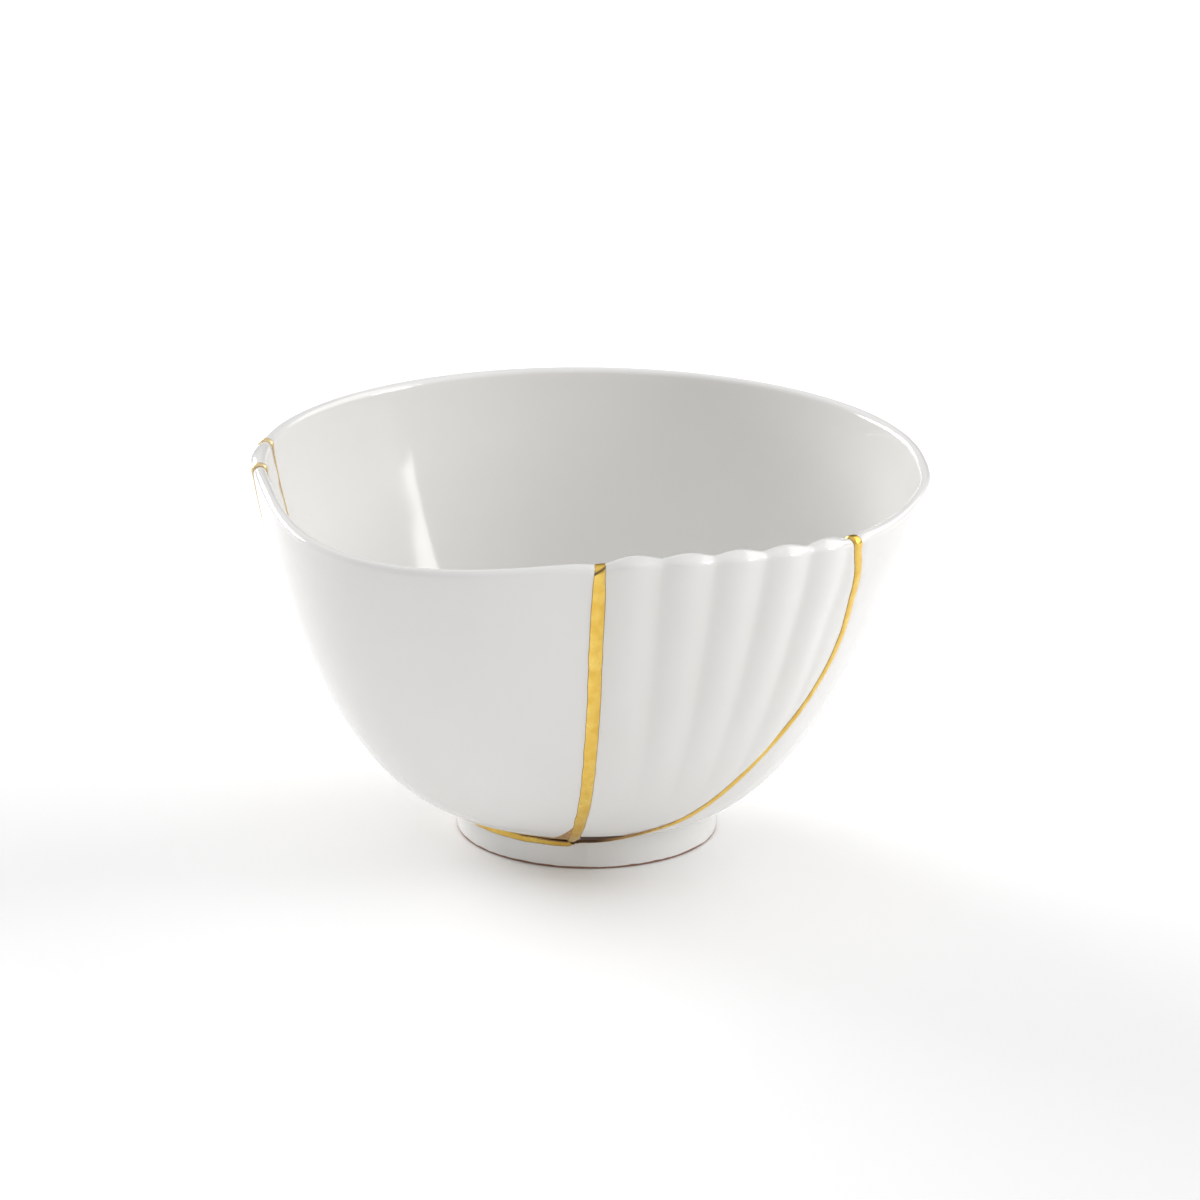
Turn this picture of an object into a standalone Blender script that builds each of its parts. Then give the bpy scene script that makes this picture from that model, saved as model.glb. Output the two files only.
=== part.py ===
"""A porcelain fruit bowl mended with gold: four shards and the one gold joint that holds them together.

Every piece is first a patch on a flat map of the bowl's skin. Across the map runs the azimuth, and up it
runs the distance from the middle of the underside, over the foot ring and up the wall to the lip's crest.
A patch is then lifted onto the bowl's outer and inner faces and closed along its broken edges.
Azimuths are in degrees, 0 at +X and -90 at the front. All other sizes are in metres.
"""
import math

import bmesh
import bpy
from mathutils import Vector
from mathutils.geometry import delaunay_2d_cdt

# Rim, wall and foot
RIM_RADIUS = 0.0700
RIM_HEIGHT = 0.0803
LIP_THICKNESS = 0.0028
WALL_THICKNESS = 0.0034
NECK_RADIUS = 0.0275
NECK_HEIGHT = 0.0066
FOOT_RADIUS = 0.0272
FOOT_RING_WIDTH = 0.0030
FOOT_EDGE = 0.0004
RECESS_DEPTH = 0.0032
FLOOR_THICKNESS = 0.0034

# How the rim strays from a circle: the big left shard swells out and dips, the right side sinks a little
SWELL_OUT = 0.0080
SWELL_DIP = 0.0024
SWELL_SPAN = (-168.5, -79.0)
LEFT_FLAT, LEFT_FLAT_AT, LEFT_FLAT_WIDTH = 0.0005, -180.0, 16.0
RIGHT_IN, RIGHT_DIP, RIGHT_AT, RIGHT_WIDTH = 0.0006, 0.0026, -32.0, 28.0
CORNER_OUT, CORNER_AT, CORNER_WIDTH = 0.0005, -6.0, 7.0
CORNER_LIP, CORNER_LIP_AT, CORNER_LIP_WIDTH = 0.0008, -12.0, 15.0

# The wall's curve from neck to lip on the plain right side and on the full left side. Each has the slope and
# the pull, as a share of the neck-to-lip distance, where it leaves the neck and where it reaches the lip.
# The curve is longer than the straight way by the bulge. A slight shoulder runs round the right side.
RIGHT_CURVE = {"neck_slope": 23.7, "neck_pull": 0.247, "lip_slope": 72.8, "lip_pull": 0.476}
LEFT_CURVE = {"neck_slope": 13.0, "neck_pull": 0.318, "lip_slope": 81.2, "lip_pull": 0.275}
SHOULDER, SHOULDER_BELOW_LIP, SHOULDER_TALL = 0.0008, 0.011, 0.006
SHOULDER_AT, SHOULDER_WIDTH = -28.0, 24.0
WALL_BULGE = 1.05

# The five flutes of the front shard and the one raised lobe of the small rim shard. Each fades down the wall
# from a share of its height, and a lower power makes it rounder or keeps it stronger for longer.
FLUTES, FLUTE_FIRST, FLUTE_PITCH = 5, -86.9, 9.05
FLUTE_DEPTH, FLUTE_RISE, FLUTE_POWER = 0.0012, 0.0008, 1.3
FLUTE_FADE_FROM, FLUTE_FADE_POWER = 0.18, 0.7
LOBE_DEPTH, LOBE_RISE, LOBE_POWER, LOBE_FADE_FROM = 0.0008, 0.0005, 0.8, 0.55

# The gold joint
FRONT_GOLD = (0.0029, 0.0023)
ARC_GOLD = (0.0030, 0.0016)
LEFT_GOLD = (0.0019, 0.0016)
GOLD_PROUD = 0.00025
FIT_GAP = 0.0003
WEB_REACH, WEB_WIDTH = 0.0035, 0.0050
NOTCH_DEPTH, NOTCH_WIDTH = 0.0005, 2.5

# Where the gold runs on the outer face: azimuth, and height as a share of the rim's height
FRONT_ROUTE = [(-88.2, 0.95), (-88.6, 0.75), (-88.9, 0.54), (-90.6, 0.28), (-93.6, 0.13)]
FRONT_FOOT_AT = -96.5
ARC_ROUTE = [(-39.5, 0.94), (-36.7, 0.81), (-34.6, 0.67), (-36.9, 0.52), (-46.6, 0.32), (-57.5, 0.175),
             (-70.0, 0.125), (-84.5, 0.096)]
FOOT_LINE_FROM = -98.0
FAR_LEFT_AT, NEAR_LEFT_AT = -188.5, -173.5
NEAR_LEFT_BEND_AT, NEAR_LEFT_BEND_SHARE = -175.0, 0.85
SMALL_SHARD_TIP = 0.42

# Fineness of the mesh
COLUMN_STEP = 6.0
FLUTE_COLUMNS = 6
WALL_ROWS = 12
FLOOR_ROWS = (0.3, 0.55, 0.76)
LIP_ANGLES = (32.0, 62.0)
STATION = 0.0032
CLEARANCE = 0.0013
SHARP_ANGLE = 35.0

# The map is cut open at the back, and its azimuths are drawn to the scale of one radius
BACK_AT = 90.0
TURN = 360.0
MAP_RADIUS = 0.050
OVERRUN = 0.0012
CUT_WIDTH = 1e-4
CLOSE = 1e-7

PORCELAIN = {"color": (0.80, 0.80, 0.775), "roughness": 0.12, "metallic": 0.0}
GOLD = {"color": (0.83, 0.50, 0.12), "roughness": 0.22, "metallic": 1.0}


def hump(azimuth, centre, width):
    """A smooth hill, 1 at its centre, on the circle of azimuths."""
    apart = (azimuth - centre + TURN / 2) % TURN - TURN / 2
    return math.exp(-(apart / width) ** 2)


def swell(azimuth):
    """0 at both ends of the left shard, 1 halfway along it."""
    low, high = SWELL_SPAN
    share = (azimuth % -TURN - low) / (high - low)
    return math.sin(math.pi * min(max(share, 0.0), 1.0)) ** 2


def flutes(azimuth):
    """The flutes' section: 1 on each crest, 0 in each valley and beyond the outer two."""
    place = (azimuth - FLUTE_FIRST) / FLUTE_PITCH
    return abs(math.sin(math.pi * place)) ** FLUTE_POWER if 0 < place < FLUTES else 0.0


def lobe(azimuth):
    """The small shard's raised lobe: 0 at its two seams, 1 between them."""
    share = (azimuth - FAR_LEFT_AT) / (NEAR_LEFT_AT - FAR_LEFT_AT)
    return math.sin(math.pi * min(max(share, 0.0), 1.0)) ** LOBE_POWER


def fade(share, start):
    """Relief dies out down the wall: 1 at the lip, 0 at start and below."""
    rise = min(max((share - start) / (1 - start), 0.0), 1.0)
    return rise * rise * (3 - 2 * rise)


def relief(azimuth, share, form):
    """How far a shard's outer face stands out from the plain wall."""
    if form == "fluted":
        return FLUTE_DEPTH * flutes(azimuth) * fade(share, FLUTE_FADE_FROM) ** FLUTE_FADE_POWER
    if form == "lobed":
        return LOBE_DEPTH * lobe(azimuth) * fade(share, LOBE_FADE_FROM)
    return 0.0


def rim(azimuth, form):
    """The lip's outermost radius, its highest point and its thickness at an azimuth."""
    right = hump(azimuth, RIGHT_AT, RIGHT_WIDTH)
    radius = (RIM_RADIUS + SWELL_OUT * swell(azimuth) - RIGHT_IN * right
              - LEFT_FLAT * hump(azimuth, LEFT_FLAT_AT, LEFT_FLAT_WIDTH)
              + CORNER_OUT * hump(azimuth, CORNER_AT, CORNER_WIDTH))
    height = RIM_HEIGHT - SWELL_DIP * swell(azimuth) - RIGHT_DIP * right
    height -= NOTCH_DEPTH * sum(hump(azimuth, at, NOTCH_WIDTH) for at in (FRONT_ROUTE[0][0], ARC_ROUTE[0][0]))
    if form == "fluted":
        height += FLUTE_RISE * flutes(azimuth)
    if form == "lobed":
        height += LOBE_RISE * lobe(azimuth)
    lip = LIP_THICKNESS - CORNER_LIP * hump(azimuth, CORNER_LIP_AT, CORNER_LIP_WIDTH)
    return radius, height, lip


def even(share, start_speed, end_speed):
    """Turns a share of the wall's length into the curve's own parameter, so that rows lie evenly."""
    s, t = share, share * share
    return (s * t - 2 * t + s) * start_speed + (3 * t - 2 * s * t) + (s * t - t) * end_speed


def wall(azimuth, share, form):
    """The outer face's radius and height at a share of the way up the wall, and its direction there."""
    radius, height, lip = rim(azimuth, form)
    left = 0.5 - 0.5 * math.cos(math.radians(azimuth))
    curve = {key: RIGHT_CURVE[key] + (LEFT_CURVE[key] - RIGHT_CURVE[key]) * left for key in RIGHT_CURVE}
    neck_way = (math.cos(math.radians(curve["neck_slope"])), math.sin(math.radians(curve["neck_slope"])))
    lip_way = (math.cos(math.radians(curve["lip_slope"])), math.sin(math.radians(curve["lip_slope"])))
    start = (NECK_RADIUS, NECK_HEIGHT)
    end = (radius - lip / 2 + lip_way[1] * lip / 2, height - lip / 2 - lip_way[0] * lip / 2)
    span = math.dist(start, end)
    neck_pull, lip_pull = span * curve["neck_pull"], span * curve["lip_pull"]
    first = [start[i] + neck_pull * neck_way[i] for i in (0, 1)]
    second = [end[i] - lip_pull * lip_way[i] for i in (0, 1)]
    t = even(share, span / (3 * neck_pull), span / (3 * lip_pull))
    u = 1 - t
    r, z = (u ** 3 * start[i] + 3 * u * u * t * first[i] + 3 * u * t * t * second[i] + t ** 3 * end[i]
            for i in (0, 1))
    dr, dz = (3 * u * u * (first[i] - start[i]) + 6 * u * t * (second[i] - first[i])
              + 3 * t * t * (end[i] - second[i]) for i in (0, 1))
    length = math.hypot(dr, dz)
    tall = (z - (RIM_HEIGHT - SHOULDER_BELOW_LIP)) / SHOULDER_TALL
    r += SHOULDER * hump(azimuth, SHOULDER_AT, SHOULDER_WIDTH) * math.exp(-tall * tall)
    return r, z, dr / length, dz / length, lip


def foot_profile():
    """The underside from its middle to the neck: recess, foot ring and the foot's outer side."""
    inside = FOOT_RADIUS - FOOT_RING_WIDTH
    return [(0.0, RECESS_DEPTH), (inside - 2 * FOOT_EDGE, RECESS_DEPTH), (inside, FOOT_EDGE),
            (inside + FOOT_EDGE, 0.0), (FOOT_RADIUS - FOOT_EDGE, 0.0), (FOOT_RADIUS, FOOT_EDGE),
            (NECK_RADIUS, NECK_HEIGHT)]


def runs_along(points):
    """The distance from the first point to each point."""
    runs = [0.0]
    for before, after in zip(points, points[1:]):
        runs.append(runs[-1] + math.dist(before, after))
    return runs


FOOT_POINTS = foot_profile()
FOOT_RUNS = runs_along(FOOT_POINTS)
NECK_RUN = FOOT_RUNS[-1]
WALL_RUN = WALL_BULGE * math.dist((NECK_RADIUS, NECK_HEIGHT), (RIM_RADIUS, RIM_HEIGHT))
LIP_RUN = NECK_RUN + WALL_RUN
CREST_RUN = LIP_RUN + LIP_THICKNESS / 2


def floor_and_foot(azimuth, run, side):
    """Radius and height on the underside, or on the inner floor, which runs smoothly into the wall."""
    if side > 0:
        corners = list(zip(FOOT_RUNS, FOOT_POINTS))
        for (low, start), (high, end) in zip(corners, corners[1:]):
            if run <= high:
                share = (run - low) / (high - low)
                return tuple(start[i] + (end[i] - start[i]) * share for i in (0, 1))
        return FOOT_POINTS[-1]
    edge_r, edge_z = skin(azimuth, NECK_RUN, side, "plain", 0.0)
    _, _, along_r, along_z, _ = wall(azimuth, 0.0, "plain")
    middle = RECESS_DEPTH + FLOOR_THICKNESS
    power = along_z / along_r * edge_r / (edge_z - middle)
    share = run / NECK_RUN
    return edge_r * share, middle + (edge_z - middle) * share ** power


def skin(azimuth, run, side, form, proud):
    """Radius and height of the outer (side 1) or inner (side -1) face, proud of it by a little for gold."""
    if run < NECK_RUN - CLOSE:
        return floor_and_foot(azimuth, run, side)
    share = min((run - NECK_RUN) / WALL_RUN, 1.0)
    r, z, along_r, along_z, lip = wall(azimuth, share, form)
    out_r, out_z = along_z, -along_r
    thick = WALL_THICKNESS + (lip - WALL_THICKNESS) * share
    raised = relief(azimuth, share, form) if side > 0 else 0.0
    if run < LIP_RUN + CLOSE:
        shift = raised + proud if side > 0 else -thick - proud
        return r + shift * out_r, z + shift * out_z
    sine = min((run - LIP_RUN + CLOSE) / (CREST_RUN - LIP_RUN), 1.0)
    cosine = math.sqrt(1 - sine * sine)
    out = (lip / 2 + proud) * cosine * side + raised * cosine ** 2
    up = (lip / 2 + proud) * sine
    middle_r, middle_z = r - out_r * lip / 2, z - out_z * lip / 2
    return middle_r + out * out_r + up * along_r, middle_z + out * out_z + up * along_z


def lift(azimuth, run, side, form, proud=0.0):
    """The point in space for a point of the map."""
    r, z = skin(azimuth, run, side, form, proud)
    turn = math.radians(azimuth)
    return Vector((r * math.cos(turn), r * math.sin(turn), z))


def run_at_height(azimuth, height):
    """How far up the map the outer face reaches a height."""
    low, high = NECK_RUN, LIP_RUN
    for _ in range(40):
        middle = (low + high) / 2
        if skin(azimuth, middle, 1, "plain", 0.0)[1] < height:
            low = middle
        else:
            high = middle
    return (low + high) / 2


def smooth_line(points):
    """A Catmull-Rom curve through map points, as many close stations."""
    ends = [tuple(2 * a - b for a, b in zip(points[0], points[1]))]
    ends.append(tuple(2 * a - b for a, b in zip(points[-1], points[-2])))
    points = [ends[0], *points, ends[1]]
    line = []
    for before, start, end, after in zip(points, points[1:], points[2:], points[3:]):
        steps = max(1, round(map_distance(start, end) / STATION))
        for step in range(steps):
            t = step / steps
            line.append(tuple(0.5 * (2 * b + (c - a) * t + (2 * a - 5 * b + 4 * c - d) * t * t
                                     + (3 * b - a - 3 * c + d) * t ** 3)
                              for a, b, c, d in zip(before, start, end, after)))
    return line + [points[-2]]


def map_distance(a, b):
    """The distance on the outer face between two map points that lie close together."""
    radius = skin((a[0] + b[0]) / 2, (a[1] + b[1]) / 2, 1, "plain", 0.0)[0]
    return math.hypot(math.radians(b[0] - a[0]) * radius, b[1] - a[1])


def on_wall(route):
    """Map points for a route given by azimuth and share of the rim's height."""
    return [(azimuth, run_at_height(azimuth, share * RIM_HEIGHT)) for azimuth, share in route]


def middle_run(line, azimuth):
    """How far up the map a line that runs round the bowl is at an azimuth."""
    for (near, low), (far, high) in zip(line, line[1:]):
        if min(near, far) <= azimuth <= max(near, far):
            return low + (high - low) * (azimuth - near) / (far - near)
    return NECK_RUN


def graded(line, widths, web_width=0.0):
    """Gives each station half a width on its left and on its right, tapering along the line."""
    runs = [0.0]
    for before, after in zip(line, line[1:]):
        runs.append(runs[-1] + map_distance(before, after))
    stations = []
    for station, run in zip(line, runs):
        half = (widths[0] + (widths[1] - widths[0]) * run / runs[-1]) / 2
        web = web_width * math.exp(-(runs[-1] - run) / WEB_REACH)
        stations.append((station, half, half + web))
    return stations


def gold_lines():
    """The four gold lines of the joint, from the lip down, with the arc running on round the neck."""
    top = CREST_RUN + OVERRUN
    arc = on_wall(ARC_ROUTE)
    arc = smooth_line([(arc[0][0], top), *arc, (FOOT_LINE_FROM, NECK_RUN)])
    past_corner = FAR_LEFT_AT - math.degrees(LEFT_GOLD[1] / 2 / NECK_RADIUS)
    steps = round((FOOT_LINE_FROM - past_corner) / COLUMN_STEP)
    step = (past_corner - FOOT_LINE_FROM) / steps
    arc += [(FOOT_LINE_FROM + step * count, NECK_RUN) for count in range(1, steps + 1)]
    front = on_wall(FRONT_ROUTE)
    front = [(front[0][0], top), *front, (FRONT_FOOT_AT, middle_run(arc, FRONT_FOOT_AT))]
    tip = (FAR_LEFT_AT, NECK_RUN + WALL_RUN * SMALL_SHARD_TIP)
    far_left = [(FAR_LEFT_AT, top), tip, (FAR_LEFT_AT, NECK_RUN)]
    bend = (NEAR_LEFT_BEND_AT, NECK_RUN + WALL_RUN * NEAR_LEFT_BEND_SHARE)
    near_left = [(NEAR_LEFT_AT, top), bend, tip]
    return [graded(smooth_line(front), FRONT_GOLD, WEB_WIDTH), graded(arc, ARC_GOLD),
            graded(smooth_line(far_left), LEFT_GOLD), graded(smooth_line(near_left), LEFT_GOLD)]


def edge_points(line, extra):
    """The outline of a gold line on the map, widened all round by extra."""
    left, right = [], []
    for place, ((azimuth, run), half_left, half_right) in enumerate(line):
        before = line[max(place - 1, 0)][0]
        after = line[min(place + 1, len(line) - 1)][0]
        radius = skin(azimuth, run, 1, "plain", 0.0)[0]
        across, up = math.radians(after[0] - before[0]) * radius, after[1] - before[1]
        length = math.hypot(across, up)
        across, up = across / length, up / length
        ahead = extra if place == len(line) - 1 else -extra if place == 0 else 0.0
        for side, half, points in ((1, half_left, left), (-1, half_right, right)):
            reach = side * (half + extra)
            points.append((azimuth + math.degrees((across * ahead - up * reach) / radius),
                           run + up * ahead + across * reach))
    return right + left[::-1]


def gold_distance(azimuth, run, lines):
    """The distance to the nearest gold line's middle, as a share of half its width there."""
    radius = max(skin(azimuth, run, 1, "plain", 0.0)[0], 0.001)
    nearest, beyond = math.inf, math.inf
    for line in lines:
        for (start, half, _), (end, _, _) in zip(line, line[1:]):
            ax, ay = math.radians(start[0] - azimuth) * radius, start[1] - run
            bx, by = math.radians(end[0] - azimuth) * radius, end[1] - run
            along = (bx - ax) ** 2 + (by - ay) ** 2
            t = min(max(-(ax * (bx - ax) + ay * (by - ay)) / along, 0.0), 1.0)
            distance = math.hypot(ax + (bx - ax) * t, ay + (by - ay) * t)
            nearest = min(nearest, distance / half)
            beyond = min(beyond, distance - half)
    return nearest, beyond


def inside(point, outline):
    """Whether a map point lies within a closed outline."""
    crossings = 0
    for (x0, y0), (x1, y1) in zip(outline, outline[1:] + outline[:1]):
        if (y0 > point[1]) != (y1 > point[1]) and point[0] < x0 + (point[1] - y0) * (x1 - x0) / (y1 - y0):
            crossings += 1
    return crossings % 2 == 1


def grid_points(lines):
    """The map's ring rows, which bend the skin sharply or end it, and the loose points between them."""
    front, arc = ([station for station, _, _ in line] for line in lines[:2])
    foot_side = [station for station in arc if station[0] > FRONT_FOOT_AT]
    fluted_patch = front + foot_side[::-1]
    first, last = BACK_AT - TURN, BACK_AT
    coarse = [first + COLUMN_STEP * count for count in range(round((last - first) / COLUMN_STEP) + 1)]
    fine_step = FLUTE_PITCH / FLUTE_COLUMNS
    fine = [FLUTE_FIRST + fine_step * count for count in range(-FLUTE_COLUMNS, (FLUTES + 2) * FLUTE_COLUMNS)]
    lip_sines = [0.0, *(math.sin(math.radians(angle)) for angle in LIP_ANGLES), 1.0]
    lip_runs = [LIP_RUN + (CREST_RUN - LIP_RUN) * sine for sine in lip_sines]
    rows = [LIP_RUN - WALL_RUN * count / WALL_ROWS for count in range(1, WALL_ROWS)]

    def clear(point):
        return gold_distance(*point, lines)[1] > FIT_GAP + CLEARANCE

    rings = []
    for run in FOOT_RUNS[:-1]:
        rings.append([(azimuth, run) for azimuth in coarse])
    rings.append([(azimuth, NECK_RUN) for azimuth in coarse if clear((azimuth, NECK_RUN))])
    for run in lip_runs:
        ring = [(azimuth, run) for azimuth in coarse if not inside((azimuth, run - CLEARANCE), fluted_patch)]
        ring += [(azimuth, run) for azimuth in fine if inside((azimuth, run - CLEARANCE), fluted_patch)]
        rings.append(sorted(point for point in ring if clear(point)))
    loose = [(azimuth, run) for run in rows for azimuth in coarse if not inside((azimuth, run), fluted_patch)]
    loose += [(azimuth, run) for run in rows for azimuth in fine if inside((azimuth, run), fluted_patch)]
    loose += [(azimuth, NECK_RUN * share) for share in FLOOR_ROWS for azimuth in coarse[1:-1]]
    return rings, [point for point in loose if clear(point)]


def flat(point):
    """A map point in the plane where the triangles are drawn."""
    return Vector((math.radians(point[0]) * MAP_RADIUS, point[1]))


def triangles(lines):
    """Draws all pieces' triangles on the map: its corners, and the triangles of porcelain and of gold."""
    rings, loose = grid_points(lines)
    points, edges, faces = list(loose), [], []
    for ring in rings:
        edges += [(len(points) + count, len(points) + count + 1) for count in range(len(ring) - 1)]
        points += ring
    for line in lines:
        edges += [(len(points) + count, len(points) + count + 1) for count in range(len(line) - 1)]
        points += [station for station, _, _ in line]
    sheet = [(BACK_AT - TURN, 0.0), (BACK_AT, 0.0), (BACK_AT, CREST_RUN), (BACK_AT - TURN, CREST_RUN)]
    outlines = [sheet] + [edge_points(line, extra) for extra in (FIT_GAP, 0.0) for line in lines]
    for outline in outlines:
        faces.append(list(range(len(points), len(points) + len(outline))))
        points += outline
    points = [flat(point) for point in points]
    corners, _, cells, _, _, origins = delaunay_2d_cdt(points, edges, faces, 0, CLOSE)
    corners = [(math.degrees(corner.x / MAP_RADIUS), corner.y) for corner in corners]
    gap_faces = set(range(1, 1 + len(lines)))
    gold_faces = set(range(1 + len(lines), 1 + 2 * len(lines)))
    porcelain = [cell for cell, origin in zip(cells, origins) if 0 in origin and not gap_faces & set(origin)]
    gold = [cell for cell, origin in zip(cells, origins) if 0 in origin and gold_faces & set(origin)]
    return corners, porcelain, gold


def connected(cells):
    """Sorts triangles into patches that hang together."""
    by_edge = {}
    for number, cell in enumerate(cells):
        for start, end in zip(cell, cell[1:] + cell[:1]):
            by_edge.setdefault(frozenset((start, end)), []).append(number)
    patches, seen = [], set()
    for number in range(len(cells)):
        if number in seen:
            continue
        patch, waiting = [], [number]
        seen.add(number)
        while waiting:
            current = waiting.pop()
            patch.append(cells[current])
            cell = cells[current]
            for start, end in zip(cell, cell[1:] + cell[:1]):
                for other in by_edge[frozenset((start, end))]:
                    if other not in seen:
                        seen.add(other)
                        waiting.append(other)
        patches.append(patch)
    return patches


def solid(name, corners, patch, form, proud_at):
    """Lifts a patch of the map onto the bowl's two faces and closes it along its broken edges."""
    mesh = bmesh.new()
    placed = {}

    def corner(number, side):
        azimuth, run = corners[number]
        spot = lift(azimuth, run, side, form, proud_at(azimuth, run))
        key = tuple(round(value / CLOSE) for value in spot)
        if key not in placed:
            placed[key] = mesh.verts.new(spot)
        return placed[key]

    def face(ring):
        ring = [vert for place, vert in enumerate(ring) if vert is not ring[place - 1]]
        if len(set(ring)) > 2:
            mesh.faces.new(ring)

    outline = set()
    for cell in patch:
        for start, end in zip(cell, cell[1:] + cell[:1]):
            outline ^= {(start, end)} if (end, start) not in outline else {(end, start)}
        face([corner(number, 1) for number in cell])
        face([corner(number, -1) for number in reversed(cell)])
    for start, end in sorted(outline):
        from_cut = [TURN / 2 - abs(corners[number][0] - BACK_AT + TURN / 2) for number in (start, end)]
        on_pole = all(corners[number][1] < CLOSE for number in (start, end))
        if max(from_cut) > CUT_WIDTH and not on_pole:
            face([corner(end, 1), corner(start, 1), corner(start, -1), corner(end, -1)])
    bmesh.ops.triangulate(mesh, faces=mesh.faces[:])
    bmesh.ops.recalc_face_normals(mesh, faces=mesh.faces[:])
    data = bpy.data.meshes.new(name)
    mesh.to_mesh(data)
    mesh.free()
    data.shade_smooth()
    data.set_sharp_from_angle(angle=math.radians(SHARP_ANGLE))
    return data


def finish(name, look):
    """A material for one piece."""
    material = bpy.data.materials.new(name)
    material.use_nodes = True
    shader = material.node_tree.nodes["Principled BSDF"]
    shader.inputs["Base Color"].default_value = (*look["color"], 1.0)
    shader.inputs["Roughness"].default_value = look["roughness"]
    shader.inputs["Metallic"].default_value = look["metallic"]
    material.diffuse_color = (*look["color"], 1.0)
    return material


def add_piece(name, data, look, holder):
    """Puts one piece under the bowl's empty."""
    data.materials.append(finish(name + "_finish", look))
    piece = bpy.data.objects.new(name, data)
    piece.parent = holder
    bpy.context.scene.collection.objects.link(piece)
    return piece


def build_bowl():
    """Makes the five pieces and stands the bowl with its box's bottom middle on the origin."""
    lines = gold_lines()
    corners, porcelain, gold = triangles(lines)
    holder = bpy.data.objects.new("kintsugi_bowl", None)
    bpy.context.scene.collection.objects.link(holder)
    probes = {"base_shard": (60.0, 0.5, "plain"), "left_plain_shard": (-130.0, 0.5, "plain"),
              "fluted_shard": (-66.0, 0.6, "fluted"), "small_rim_shard": (-181.0, 0.9, "lobed")}
    pieces = []
    for patch in connected(porcelain):
        for name, (azimuth, share, form) in probes.items():
            probe = (azimuth, NECK_RUN + share * WALL_RUN)
            if any(inside(probe, [corners[number] for number in cell]) for cell in patch):
                shard = solid(name, corners, patch, form, lambda azimuth, run: 0.0)
                pieces.append(add_piece(name, shard, PORCELAIN, holder))

    def proud_at(azimuth, run):
        share = min(gold_distance(azimuth, run, lines)[0], 1.0)
        return GOLD_PROUD * math.sqrt(1 - share * share)

    joint = solid("gold_joint", corners, gold, "plain", proud_at)
    pieces.append(add_piece("gold_joint", joint, GOLD, holder))
    spots = [vert.co for piece in pieces for vert in piece.data.vertices]
    middle = [(min(spot[i] for spot in spots) + max(spot[i] for spot in spots)) / 2 for i in (0, 1)]
    holder.location = (-middle[0], -middle[1], 0.0)
    bpy.context.view_layer.update()


for old in list(bpy.data.objects):
    bpy.data.objects.remove(old, do_unlink=True)
build_bowl()
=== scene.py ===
"""Looks of a porcelain fruit bowl mended with gold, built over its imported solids.

Azimuths are in degrees, 0 at +X and -90 at the front. Every other size is in metres. A run is the way along
the outer face from the middle of the underside to a point, and a share is how far up the wall it lies.
"""
import math

import bpy
import numpy as np
from mathutils import Matrix, Vector
from mathutils.geometry import delaunay_2d_cdt


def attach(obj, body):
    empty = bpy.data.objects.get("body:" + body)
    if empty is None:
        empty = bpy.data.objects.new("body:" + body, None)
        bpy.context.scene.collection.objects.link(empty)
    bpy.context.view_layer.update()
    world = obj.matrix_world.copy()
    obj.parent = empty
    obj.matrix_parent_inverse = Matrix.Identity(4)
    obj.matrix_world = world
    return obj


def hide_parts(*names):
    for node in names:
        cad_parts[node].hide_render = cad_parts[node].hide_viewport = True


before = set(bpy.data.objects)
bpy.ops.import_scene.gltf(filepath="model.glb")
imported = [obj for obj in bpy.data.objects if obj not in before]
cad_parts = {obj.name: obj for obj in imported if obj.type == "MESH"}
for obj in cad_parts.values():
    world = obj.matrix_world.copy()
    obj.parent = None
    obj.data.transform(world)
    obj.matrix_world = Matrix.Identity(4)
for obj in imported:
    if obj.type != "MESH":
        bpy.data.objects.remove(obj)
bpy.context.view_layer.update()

# Base shard
# The largest piece of the thrown porcelain bowl: its right side, back, floor and foot ring. It is glazed all
# over but for the ring it was fired on. The form of the whole bowl, as it was before it broke, is set here.

# The frame's origin is the middle of the whole bowl, so the foot's axis is found from the ring it stands on
STANDS_WITHIN = 0.00001
standing_ring = [vert.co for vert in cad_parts["base_shard"].data.vertices if vert.co.z < STANDS_WITHIN]
FOOT_AXIS = [(min(point[i] for point in standing_ring) + max(point[i] for point in standing_ring)) / 2
             for i in (0, 1)]

# The plain bowl
RIM_RADIUS, RIM_HEIGHT = 0.0700, 0.0803
LIP_THICKNESS, WALL_THICKNESS, FLOOR_THICKNESS = 0.0028, 0.0034, 0.0034
NECK_RADIUS, NECK_HEIGHT = 0.0275, 0.0066
FOOT_RADIUS, FOOT_RING_WIDTH, RECESS_DEPTH = 0.0272, 0.0030, 0.0032
WALL_BULGE = 1.05

# How the wall leaves the neck and reaches the lip: its slope in degrees, and how long it keeps to that slope
RIGHT_CURVE = {"neck_slope": 23.7, "neck_pull": 0.247, "lip_slope": 72.8, "lip_pull": 0.476}
LEFT_CURVE = {"neck_slope": 13.0, "neck_pull": 0.318, "lip_slope": 81.2, "lip_pull": 0.275}

# Where the rim strays from a level circle. AT is an azimuth, SPAN two of them, and WIDTH a number of degrees
SWELL_OUT, SWELL_DIP, SWELL_SPAN = 0.0080, 0.0024, (-168.5, -79.0)
LEFT_FLAT, LEFT_FLAT_AT, LEFT_FLAT_WIDTH = 0.0005, -180.0, 16.0
RIGHT_IN, RIGHT_DIP, RIGHT_AT, RIGHT_WIDTH = 0.0006, 0.0026, -32.0, 28.0
CORNER_OUT, CORNER_AT, CORNER_WIDTH = 0.0005, -6.0, 7.0
CORNER_LIP, CORNER_LIP_AT, CORNER_LIP_WIDTH = 0.0008, -12.0, 15.0
SHOULDER, SHOULDER_BELOW_LIP, SHOULDER_TALL = 0.0008, 0.011, 0.006
SHOULDER_AT, SHOULDER_WIDTH = -28.0, 24.0
SEAM_DIP, SEAM_DIP_WIDTH, SEAMS_AT = 0.0005, 2.5, (-88.2, -39.5)

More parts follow.
